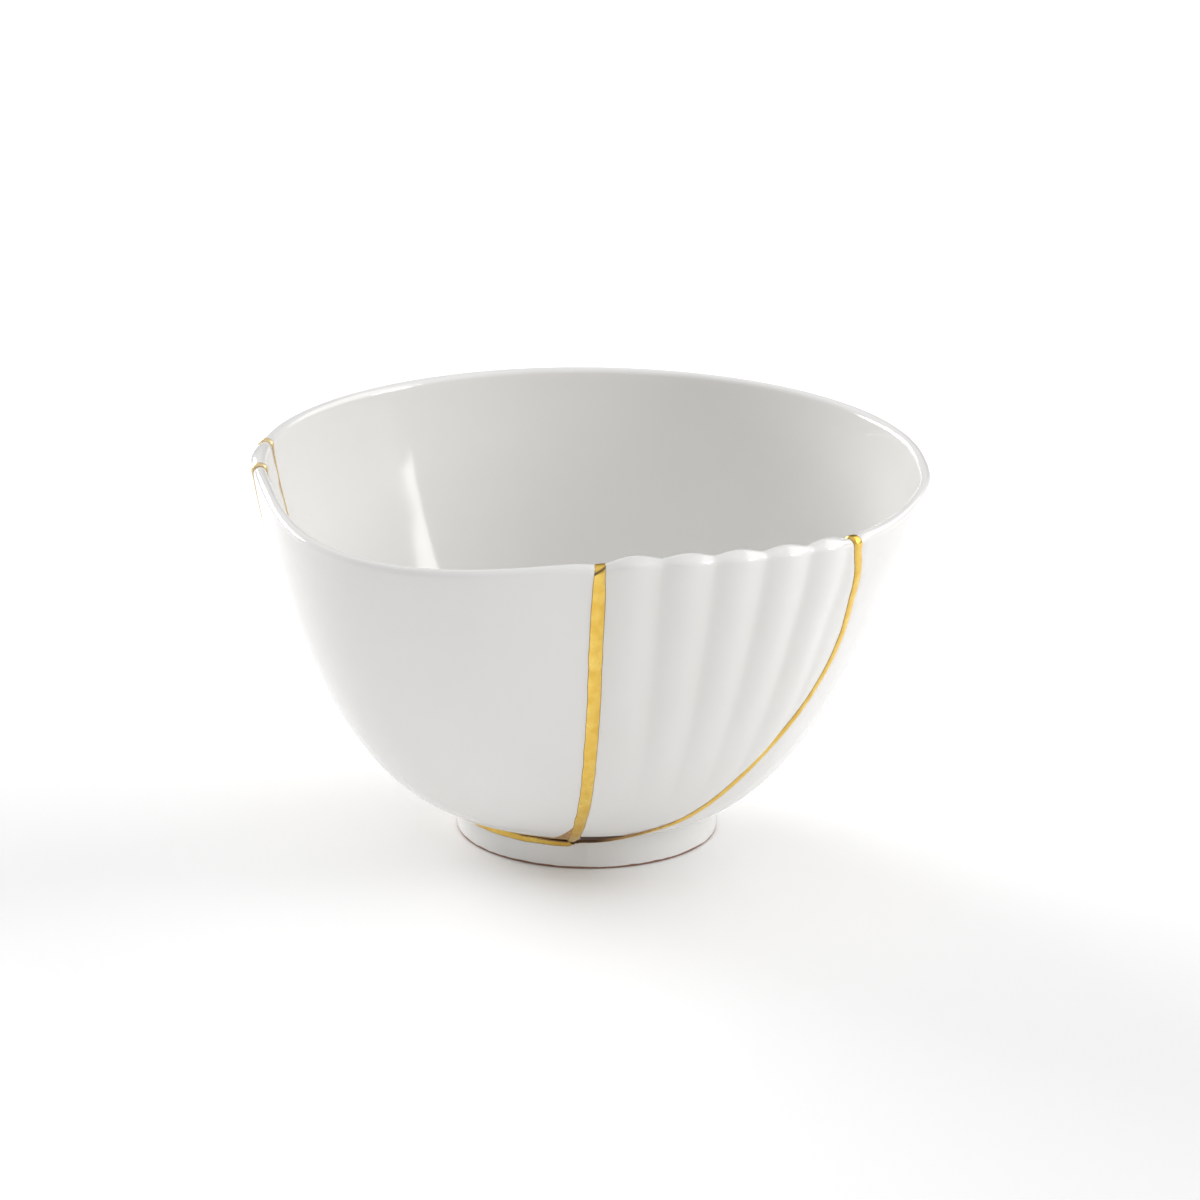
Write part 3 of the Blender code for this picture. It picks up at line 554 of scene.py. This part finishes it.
def glazed_porcelain():
    """White hard-paste porcelain under a clear glaze, bare where the foot ring stood in the kiln.

    The glaze gives a wet gloss with a slight orange-peel ripple, turns a little greyer where it pools, and
    holds a few faint specks. The bare ring is matt and flashed pinkish brown.
    """
    material = bpy.data.materials.new("glazed white porcelain")
    material.use_nodes = True
    tree = material.node_tree
    shader = tree.nodes["Principled BSDF"]
    spot = add_node(tree, "ShaderNodeTexCoord").outputs["Object"]
    depth = add_node(tree, "ShaderNodeAttribute", attribute_name="glaze_depth").outputs["Fac"]
    body = add_node(tree, "ShaderNodeMix", {0: depth, "A": linear("EDECEB"), "B": linear("DEDDDA")},
                    data_type="RGBA")
    # Cloudy tone 25 mm across, from the glaze's uneven thickness
    clouds = add_node(tree, "ShaderNodeTexNoise", {"Vector": spot, "Scale": 1 / 0.025, "Detail": 3.0})
    cloud_share = add_node(tree, "ShaderNodeMapRange", {0: clouds.outputs["Fac"], 1: 0.35, 2: 0.7,
                                                        3: 0.0, 4: 0.35})
    toned = add_node(tree, "ShaderNodeMix", {0: cloud_share.outputs[0], "A": body.outputs[2],
                                             "B": linear("E1E0DC")}, data_type="RGBA")
    # Specks of iron 0.25 mm across, about one in every 9 mm
    cells = add_node(tree, "ShaderNodeTexVoronoi", {"Vector": spot, "Scale": 1 / 0.009, "Randomness": 1.0})
    speck = add_node(tree, "ShaderNodeMapRange", {0: cells.outputs["Distance"], 1: 0.010, 2: 0.018,
                                                  3: 0.35, 4: 0.0})
    specked = add_node(tree, "ShaderNodeMix", {0: speck.outputs[0], "A": toned.outputs[2],
                                               "B": linear("A79F92")}, data_type="RGBA")
    # The ring that stood in the kiln has no glaze below 0.5 mm
    height = add_node(tree, "ShaderNodeSeparateXYZ", {0: spot}).outputs["Z"]
    ripple = add_node(tree, "ShaderNodeTexNoise", {"Vector": spot, "Scale": 1 / 0.004, "Detail": 2.0})
    edge = add_node(tree, "ShaderNodeMath", {0: ripple.outputs["Fac"], 1: 0.0005, 2: 0.00025},
                    operation="MULTIPLY_ADD")
    bare = add_node(tree, "ShaderNodeMath", {0: height, 1: edge.outputs[0]}, operation="LESS_THAN")
    colour = add_node(tree, "ShaderNodeMix", {0: bare.outputs[0], "A": specked.outputs[2],
                                              "B": linear("8F6B58")}, data_type="RGBA")
    gloss = add_node(tree, "ShaderNodeMapRange", {0: clouds.outputs["Fac"], 3: 0.05, 4: 0.11})
    roughness = add_node(tree, "ShaderNodeMix", {0: bare.outputs[0], 2: gloss.outputs[0], 3: 0.75},
                         data_type="FLOAT")
    # Slow waves 14 mm long from the throwing, and an orange peel of 1.2 mm in the glaze
    waves = add_node(tree, "ShaderNodeTexNoise", {"Vector": spot, "Scale": 1 / 0.014, "Detail": 1.0})
    peel = add_node(tree, "ShaderNodeTexNoise", {"Vector": spot, "Scale": 1 / 0.0012, "Detail": 1.0})
    thrown = add_node(tree, "ShaderNodeBump", {"Height": waves.outputs["Fac"], "Distance": 0.00012,
                                               "Strength": 0.6})
    surface = add_node(tree, "ShaderNodeBump", {"Height": peel.outputs["Fac"], "Distance": 0.000006,
                                                "Strength": 0.5, "Normal": thrown.outputs[0]})
    tree.links.new(colour.outputs[2], shader.inputs["Base Color"])
    tree.links.new(roughness.outputs[0], shader.inputs["Roughness"])
    tree.links.new(surface.outputs[0], shader.inputs["Normal"])
    shader.inputs["IOR"].default_value = 1.52
    return material


porcelain = glazed_porcelain()


def add_shard(name, node, azimuth, share, form):
    """One shard of the bowl, from the patch at a place on the wall, glazed all over."""
    def lifted(side):
        return lambda azimuths, runs: in_space(azimuths, runs, side, form, worn_edge(azimuths, runs))
    shard = closed_piece(name, node, skin_corners, patch_at(azimuth, share), lifted(1), lifted(-1),
                         {"glaze_depth": glaze_pool(form)})
    shard.data.materials.append(porcelain)
    return shard


# Azimuth and share of a place within the shard, which picks its patch
add_shard("base_shard_glazed", "base_shard", 60.0, 0.5, "plain")

# Left plain shard
# The front-left part of the wall, from the front seam round to the left end, of the same glazed porcelain. It
# swells out and its lip dips a little. The gold joint holds it to the base along the neck.
add_shard("left_plain_shard_glazed", "left_plain_shard", -130.0, 0.5, "plain")

# Fluted shard
# The front-right part of the wall, as if from another bowl: five flutes run down its outer face and scallop
# its lip. It sits between the front line and the arc line of gold.
add_shard("fluted_shard_glazed", "fluted_shard", -66.0, 0.6, "fluted")

# Small rim shard
# A narrow wedge of the same porcelain in the lip at the left end, with one raised lobe. Two thin lines of
# gold hold it between the base and the left plain shard.
add_shard("small_rim_shard_glazed", "small_rim_shard", -181.0, 0.9, "lobed")

# Gold joint
# The seam that mends the bowl: lacquer filled into the cracks through the whole wall and drawn over them as a
# raised bead, then dusted with gold powder and burnished. Brown lacquer shows along its edges.

# The bead's height, how far in from its edge the crown is full, how far the edge is sunk, and the rounding
# where two lines meet
BEAD_HEIGHT, BEAD_EDGE, BEAD_SINK, BEAD_BLEND = 0.00032, 0.0011, 0.00006, 0.00015
# Where a line crosses the lip, how much higher it stands there, and how tall and how wide the knob is
LIP_KNOBS = ((SEAMS_AT[0], -0.0002), (SEAMS_AT[1], 0.0003), (LOBE_SPAN[0], 0.0003), (LOBE_SPAN[1], 0.0003))
LIP_KNOB_TALL, LIP_KNOB_WIDTH = 0.0014, 4.0
# Extra height that fills the corner along the neck, and the swollen stretch right of the front line's foot
NECK_FILL, NECK_FILL_REACH = 0.00045, 0.0007
FOOT_FILL, FOOT_FILL_AT, FOOT_FILL_WIDTH, FOOT_FILL_REACH = 0.0007, -84.0, 15.0, 0.007


def bead(azimuth, run):
    """How far gold stands proud: a low rounded crown, knobs on the lip and a filled corner on the neck."""
    depth = np.clip(-(beyond_gold(azimuth, run, BEAD_BLEND) - SEAM_GAP), 0, None)
    rise = np.clip(depth / BEAD_EDGE, 0, 1)
    knobs = sum(extra * hill(azimuth, at, LIP_KNOB_WIDTH) for at, extra in LIP_KNOBS)
    tall = BEAD_HEIGHT + knobs * np.exp(-((run - CREST_RUN) / LIP_KNOB_TALL) ** 2)
    crown = (tall + BEAD_SINK) * np.sqrt(1 - (1 - rise) ** 2) - BEAD_SINK
    above_neck = run - NECK_RUN
    neck_fill = NECK_FILL * np.exp(-(above_neck / NECK_FILL_REACH) ** 2)
    foot_fill = FOOT_FILL * hill(azimuth, FOOT_FILL_AT, FOOT_FILL_WIDTH)
    return crown + rise * (neck_fill + foot_fill * np.exp(-(above_neck / FOOT_FILL_REACH) ** 2))


LACQUER_EDGE = 0.0002
# The low line's upper side, in the corner under the wall, is painted brown to dark brown: partly lacquer and
# partly painted shade. How far below the line's middle it starts, how far above it ends, from which azimuth,
# how dark the painted shade is, and how much darker it is under the front line's foot
UPPER_SIDE_FROM, UPPER_SIDE_TO, UPPER_SIDE_AT = 0.0003, 0.0016, -62.0
UPPER_SIDE_SHADE, FOOT_SHADE, FOOT_SHADE_AT, FOOT_SHADE_WIDTH = 0.6, 1.4, -95.0, 18.0


def lacquer_and_painted_shade(azimuth, run):
    """1 at the bead's edges, 0 a little way in, and up to 2, dark brown painted shade over lacquer, on the
    low line's upper side.
    """
    edge = np.clip(1 + (beyond_gold(azimuth, run) - SEAM_GAP) / LACQUER_EDGE, 0, 1)
    arc = seams[1]["line"]
    low = arc[arc[:, 0] < ARC_LOW_FROM]
    above_line = run - np.interp(-azimuth, -low[:, 0], low[:, 1])
    # Painted shade: the low line's upper side is darkened, most under the front line's foot
    shaded_upper_side = np.clip((above_line + UPPER_SIDE_FROM) / UPPER_SIDE_FROM, 0, 1)
    shaded_upper_side = shaded_upper_side * (above_line < UPPER_SIDE_TO) * (azimuth < UPPER_SIDE_AT)
    shade_strength = UPPER_SIDE_SHADE + FOOT_SHADE * hill(azimuth, FOOT_SHADE_AT, FOOT_SHADE_WIDTH)
    return np.maximum(edge, shaded_upper_side * shade_strength)


# Painted highlight: the two left lines get little powder, which paints them pale as if washed out by light
PAINTED_HIGHLIGHT_LEFT, PAINTED_HIGHLIGHT_LEFT_WIDTH = 0.9, 14.0


def powder(azimuth, run):
    """How thickly the gold was dusted, 0 to 1. It is low on the two left lines, which paints them pale: a
    painted highlight.
    """
    return 1 - PAINTED_HIGHLIGHT_LEFT * hill(azimuth, sum(LOBE_SPAN) / 2, PAINTED_HIGHLIGHT_LEFT_WIDTH)


# A dark band slants across the front line where it turns over the lip, drawn as bare dark lacquer: it is a
# painted reflection. How far up the lip its middle is, which way is across it, and its half width and half
# length, each with a soft edge
DARK_BAND_UP_LIP, ACROSS_DARK_BAND = 0.0007, (-0.5, 0.0, 0.866)
DARK_BAND_HALF_WIDTH, DARK_BAND_HALF_LENGTH = (0.00018, 0.00034), (0.0022, 0.0026)


def burnished_gold():
    """Fine gold powder on lacquer, burnished with a stone.

    The gold is warm and bright with soft, slightly uneven reflections, and the brown lacquer shows through at
    the edges, where the powder is thin. It also carries painted light: dark brown painted shade on the low
    line's upper side and the right web, a painted dark reflection band where the front line turns over the
    lip, and a pale painted highlight on the two left lines.
    """
    material = bpy.data.materials.new("burnished gold powder on lacquer")
    material.use_nodes = True
    tree = material.node_tree
    shader = tree.nodes["Principled BSDF"]
    spot = add_node(tree, "ShaderNodeTexCoord").outputs["Object"]
    # This attribute holds the lacquer at the bead's edges and the painted shade on the low line's upper side
    edge = add_node(tree, "ShaderNodeAttribute", attribute_name="lacquer_and_painted_shade").outputs["Fac"]
    dusting_and_highlight = add_node(tree, "ShaderNodeAttribute", attribute_name="powder").outputs["Fac"]
    # Patches of thicker and thinner powder, 3 mm across, and a paler tone where the powder value is low: the
    # thin film of the webs, and a painted highlight on the two left lines
    powder_patches = add_node(tree, "ShaderNodeTexNoise", {"Vector": spot, "Scale": 1 / 0.003, "Detail": 4.0})
    tone = add_node(tree, "ShaderNodeMapRange", {0: powder_patches.outputs["Fac"], 1: 0.35, 2: 0.65})
    full = add_node(tree, "ShaderNodeMix", {0: tone.outputs[0], "A": linear("EFCD6C"), "B": linear("E6BC56")},
                    data_type="RGBA")
    thin_and_highlit = add_node(tree, "ShaderNodeMix", {0: dusting_and_highlight, "A": linear("EBD9B8"), "B": full.outputs[2]},
                    data_type="RGBA")
    # Noise 0.8 mm long makes the lacquer's edge wander by about 0.05 mm
    wander = add_node(tree, "ShaderNodeTexNoise", {"Vector": spot, "Scale": 1 / 0.0008, "Detail": 3.0})
    worn = add_node(tree, "ShaderNodeMath", {0: wander.outputs["Fac"], 1: 0.5, 2: edge},
                    operation="MULTIPLY_ADD")
    # The lacquer mask also takes in the painted shade on the low line's upper side
    lacquer = add_node(tree, "ShaderNodeMapRange", {0: worn.outputs[0], 1: 0.85, 2: 1.15})
    # The painted dark band lies within its half width of a slanting plane and within its half length of its
    # middle
    dark_band_at = in_space(np.array([SEAMS_AT[0]]), np.array([LIP_RUN + DARK_BAND_UP_LIP]), 1, "plain", 0.0)[0]
    from_dark_band = add_node(tree, "ShaderNodeVectorMath", {0: spot, 1: dark_band_at.tolist()},
                         operation="SUBTRACT").outputs[0]
    side_of_dark_band = add_node(tree, "ShaderNodeVectorMath", {0: from_dark_band, 1: ACROSS_DARK_BAND},
                            operation="DOT_PRODUCT")
    off_dark_band = add_node(tree, "ShaderNodeMath", {0: side_of_dark_band.outputs["Value"]}, operation="ABSOLUTE")
    on_plane = add_node(tree, "ShaderNodeMapRange", {0: off_dark_band.outputs[0], 1: DARK_BAND_HALF_WIDTH[0],
                                                     2: DARK_BAND_HALF_WIDTH[1], 3: 1.0, 4: 0.0})
    reach = add_node(tree, "ShaderNodeVectorMath", {0: from_dark_band}, operation="LENGTH").outputs["Value"]
    near_dark_band = add_node(tree, "ShaderNodeMapRange", {0: reach, 1: DARK_BAND_HALF_LENGTH[0],
                                                      2: DARK_BAND_HALF_LENGTH[1], 3: 0.85, 4: 0.0})
    painted_dark_band = add_node(tree, "ShaderNodeMath", {0: on_plane.outputs[0], 1: near_dark_band.outputs[0]},
                    operation="MULTIPLY")
    # Lacquer is brown where it's thin. It turns dark brown on the painted dark band, a painted reflection,
    # and where the attribute runs above 1.1, which is painted shade on the low line's upper side and the
    # right web
    bare = add_node(tree, "ShaderNodeMath", {0: painted_dark_band.outputs[0], 1: lacquer.outputs[0]}, operation="MAXIMUM")
    thick = add_node(tree, "ShaderNodeMapRange", {0: edge, 1: 1.1, 2: 1.7})
    darkest = add_node(tree, "ShaderNodeMath", {0: thick.outputs[0], 1: painted_dark_band.outputs[0]}, operation="MAXIMUM")
    lacquer_and_shade_tone = add_node(tree, "ShaderNodeMix", {0: darkest.outputs[0], "A": linear("A98250"),
                                                    "B": linear("4A3018")}, data_type="RGBA")
    colour = add_node(tree, "ShaderNodeMix", {0: bare.outputs[0], "A": thin_and_highlit.outputs[2],
                                              "B": lacquer_and_shade_tone.outputs[2]}, data_type="RGBA")
    # Only the powder is metal, so bare and thinly dusted lacquer shows less of it. This also takes metal from
    # the painted shade, the painted dark band at the lip and the pale painted highlight on the two left lines
    gilt = add_node(tree, "ShaderNodeMapRange", {0: bare.outputs[0], 3: 1.0, 4: 0.3})
    metal = add_node(tree, "ShaderNodeMath", {0: gilt.outputs[0], 1: dusting_and_highlight}, operation="MULTIPLY")
    burnish = add_node(tree, "ShaderNodeMapRange", {0: tone.outputs[0], 3: 0.26, 4: 0.4})
    roughness = add_node(tree, "ShaderNodeMix", {0: bare.outputs[0], 2: burnish.outputs[0], 3: 0.7},
                         data_type="FLOAT")
    # Powder grain of 0.05 mm, drawn at 0.2 mm so that it shows
    grain = add_node(tree, "ShaderNodeTexNoise", {"Vector": spot, "Scale": 1 / 0.0002, "Detail": 2.0})
    brushed = add_node(tree, "ShaderNodeBump", {"Height": powder_patches.outputs["Fac"], "Distance": 0.00004,
                                                "Strength": 0.5})
    surface = add_node(tree, "ShaderNodeBump", {"Height": grain.outputs["Fac"], "Distance": 0.00001,
                                                "Strength": 0.4, "Normal": brushed.outputs[0]})
    tree.links.new(colour.outputs[2], shader.inputs["Base Color"])
    tree.links.new(metal.outputs[0], shader.inputs["Metallic"])
    tree.links.new(roughness.outputs[0], shader.inputs["Roughness"])
    tree.links.new(surface.outputs[0], shader.inputs["Normal"])
    return material


gold_bead = closed_piece("gold_joint_bead", "gold_joint", skin_corners, gold_cells,
                         lambda azimuths, runs: in_space(azimuths, runs, 1, "plain", bead(azimuths, runs)),
                         lambda azimuths, runs: in_space(azimuths, runs, -1, "plain", bead(azimuths, runs)),
                         {"lacquer_and_painted_shade": lacquer_and_painted_shade, "powder": powder})
gold = burnished_gold()
gold_bead.data.materials.append(gold)

# Thin webs of gold and lacquer fill the corners on both sides of the front line's foot. They're films on the
# outer face: how high they stand, how far their edges and undersides are sunk, how steeply they rise from the
# upper edge and from the tip, how tall the tip is, and how thickly they were dusted
WEB_RAISED, WEB_EDGE_SUNK, WEB_UNDER = 0.00012, 0.00004, 0.0003
WEB_TOP_STEEPNESS, WEB_TIP_STEEPNESS = 5, 8
WEB_TIP_TALL, WEB_POWDER = 0.0008, 0.45
WEB_COLUMNS, WEB_ROWS = 28, 18
web_shares = np.array([(i / WEB_COLUMNS, j / WEB_ROWS) for i in range(WEB_COLUMNS + 1)
                       for j in range(WEB_ROWS + 1)])
web_corners = np.arange(len(web_shares)).reshape(WEB_COLUMNS + 1, WEB_ROWS + 1)
near_low, near_high = web_corners[:-1, :-1], web_corners[:-1, 1:]
far_low, far_high = web_corners[1:, :-1], web_corners[1:, 1:]
leftward_cells = np.concatenate([np.stack([near_low, near_high, far_high], axis=-1).reshape(-1, 3),
                                 np.stack([near_low, far_high, far_low], axis=-1).reshape(-1, 3)])


def add_web(name, start, tip, tall, power, climb, lacquer):
    """A web between two azimuths, from where it starts on the front line to its tip.

    Its upper edge falls away from the front line, faster the higher the power. Its lower edge starts at the
    neck and climbs towards the tip. The last value is how much lacquer shows; above 1 it paints the web dark
    brown, partly lacquer and partly painted shade.
    """
    along, up_share = web_shares.T
    runs = NECK_RUN + climb * along + (WEB_TIP_TALL + (tall - WEB_TIP_TALL) * (1 - along) ** power) * up_share
    film = np.clip(WEB_TOP_STEEPNESS * (1 - up_share), 0, 1) * np.clip(WEB_TIP_STEEPNESS * (1 - along), 0, 1)
    raised = (WEB_RAISED + WEB_EDGE_SUNK) * film - WEB_EDGE_SUNK
    web = closed_piece(name, "gold_joint", np.stack([start + (tip - start) * along, runs], axis=1),
                       leftward_cells if tip < start else leftward_cells[:, ::-1],
                       lambda azimuths, runs: in_space(azimuths, runs, 1, "plain", raised),
                       lambda azimuths, runs: in_space(azimuths, runs, 1, "plain", -WEB_UNDER),
                       {"lacquer_and_painted_shade": lambda azimuths, runs: np.full(len(runs), lacquer),
                        "powder": lambda azimuths, runs: np.full(len(runs), WEB_POWDER)})
    web.data.materials.append(gold)


add_web("gold_joint_web_left", start=-92.6, tip=-111.5, tall=0.0185, power=1.9, climb=0.0, lacquer=0.9)
# The right web is painted dark brown: partly lacquer, partly painted shade in the corner under the wall
add_web("gold_joint_web_right", start=-92.0, tip=-74.0, tall=0.0085, power=1.0, climb=0.0062, lacquer=2.0)

# Studio
# The bowl stands on matt white paper in a pale room. A big soft light and a window are on its right, and a
# low window behind it on the left shows in the glaze inside.
FLOOR_REACH = 3.0
floor_mesh = bpy.data.meshes.new("studio_floor")
floor_corners = [(x * FLOOR_REACH, y * FLOOR_REACH, 0) for x, y in ((-1, -1), (1, -1), (1, 1), (-1, 1))]
floor_mesh.from_pydata(floor_corners, [], [(0, 1, 2, 3)])
floor = bpy.data.objects.new("studio_floor", floor_mesh)
bpy.context.scene.collection.objects.link(floor)
# Matt white paper has no shine, so it only takes the bowl's soft shadow
paper = bpy.data.materials.new("matt white paper sweep")
paper.use_nodes = True
paper.node_tree.nodes["Principled BSDF"].inputs["Base Color"].default_value = linear("FAFAFA")
paper.node_tree.nodes["Principled BSDF"].inputs["Roughness"].default_value = 0.9
floor_mesh.materials.append(paper)


def way_to(azimuth, elevation):
    """The direction from the bowl to a place in the room."""
    turn, lift = math.radians(azimuth), math.radians(elevation)
    return Vector((math.cos(turn) * math.cos(lift), math.sin(turn) * math.cos(lift), math.sin(lift)))


# Azimuth, elevation and distance from the bowl, width and height of the light, and how bright its face is
LIGHTS = {
    "softbox_right": (24.0, 35.0, 1.8, 1.7, 1.3, 2.1),
    "window_right": (-11.0, 24.0, 1.8, 0.5, 0.8, 6.6),
    "window_back_left": (134.0, 20.0, 1.6, 1.2, 0.42, 13.0),
}
for name, (azimuth, elevation, distance, width, height, radiance) in LIGHTS.items():
    lamp = bpy.data.lights.new(name, "AREA")
    lamp.shape, lamp.size, lamp.size_y = "RECTANGLE", width, height
    lamp.energy = radiance * math.pi * width * height
    light = bpy.data.objects.new(name, lamp)
    light.location = way_to(azimuth, elevation) * distance
    light.rotation_euler = way_to(azimuth, elevation).to_track_quat("Z", "Y").to_euler()
    bpy.context.scene.collection.objects.link(light)

world = bpy.data.worlds.new("pale room")
world.use_nodes = True
# The room's pale walls, as soft glows: azimuth and elevation, where each begins and is full, and its strength
GLOWS = [(180.0, 38.0, 0.0, 0.9, 0.54), (-50.0, 50.0, 0.1, 1.0, 0.61)]
direction = add_node(world.node_tree, "ShaderNodeTexCoord").outputs["Generated"]
brightness = 0.0
for azimuth, elevation, begins, full, strength in GLOWS:
    facing = add_node(world.node_tree, "ShaderNodeVectorMath", {0: direction, 1: way_to(azimuth, elevation)},
                      operation="DOT_PRODUCT")
    glow = add_node(world.node_tree, "ShaderNodeMapRange", {0: facing.outputs["Value"], 1: begins, 2: full,
                                                            3: 0.0, 4: strength},
                    interpolation_type="SMOOTHSTEP")
    brightness = add_node(world.node_tree, "ShaderNodeMath", {0: glow.outputs[0], 1: brightness}).outputs[0]
world.node_tree.links.new(brightness, world.node_tree.nodes["Background"].inputs["Strength"])
world.node_tree.nodes["Background"].inputs["Color"].default_value = (1, 1, 1, 1)
bpy.context.scene.world = world
bpy.context.scene.view_settings.view_transform = "Standard"

# Camera
# A long lens looks from the front, 18 degrees down and turned a little. The shifts place the bowl in the
# picture.
ELEVATION, ROLL = 18.15, 0.614
DISTANCE, RIGHT_SHIFT, UP_SHIFT = 1.2, 0.002323, 0.047035
LENS, SENSOR = 170.8, 36.0
tilt, roll = math.radians(ELEVATION), math.radians(ROLL)
back = Vector((0, -math.cos(tilt), math.sin(tilt)))
level_right = Vector((1, 0, 0))
level_up = back.cross(level_right)
right = level_right * math.cos(roll) + level_up * math.sin(roll)
up = level_up * math.cos(roll) - level_right * math.sin(roll)
camera_at = Vector((*FOOT_AXIS, 0)) + back * DISTANCE + level_right * RIGHT_SHIFT + level_up * UP_SHIFT
camera_data = bpy.data.cameras.new("photograph view")
camera_data.lens, camera_data.sensor_width, camera_data.sensor_fit = LENS, SENSOR, "HORIZONTAL"
camera_data.clip_start, camera_data.clip_end = 0.05, 20.0
camera = bpy.data.objects.new("photograph view", camera_data)
camera.matrix_world = Matrix.Translation(camera_at) @ Matrix((right, up, back)).transposed().to_4x4()
bpy.context.scene.collection.objects.link(camera)
bpy.context.scene.camera = camera
